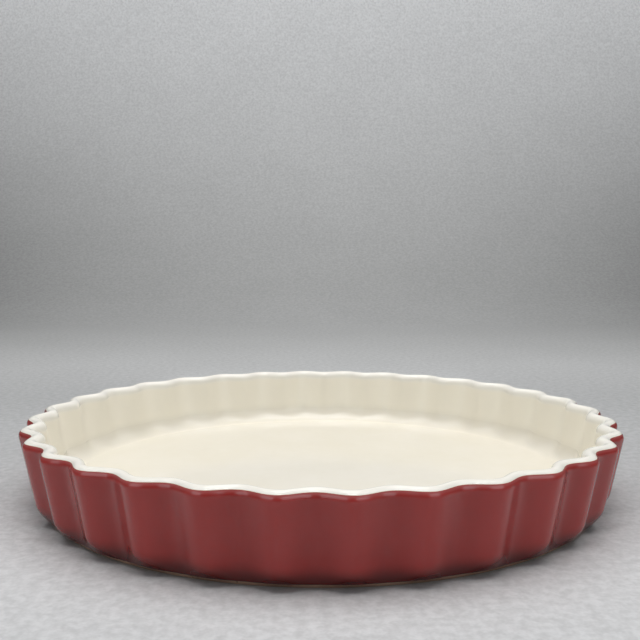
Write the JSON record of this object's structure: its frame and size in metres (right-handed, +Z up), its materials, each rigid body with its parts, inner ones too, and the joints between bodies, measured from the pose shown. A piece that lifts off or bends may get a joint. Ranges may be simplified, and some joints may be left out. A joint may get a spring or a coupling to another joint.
{
  "type": "fluted quiche dish",
  "caption": "Round shallow baking dish with a fluted wall and a scalloped rim, glazed cream inside and red outside, on a bare foot ring.",
  "frame": {"origin": "centre of the foot ring, on the surface that the dish stands on", "axes": "+Z up along the dish's axis, out of its mouth; one flute crest points along +X and one along -Y"},
  "size_m": [0.28, 0.28, 0.0374],
  "materials": {
    "bare_stoneware": "matte unglazed fired clay",
    "cream_glaze": "glossy cream glaze",
    "red_glaze": "glossy dark red glaze"
  },
  "bodies": {
    "root": {"stoneware_body": "bare_stoneware", "cream_liner_glaze": "cream_glaze", "red_wall_glaze": "red_glaze", "red_base_glaze": "red_glaze"}
  },
  "joints": []
}
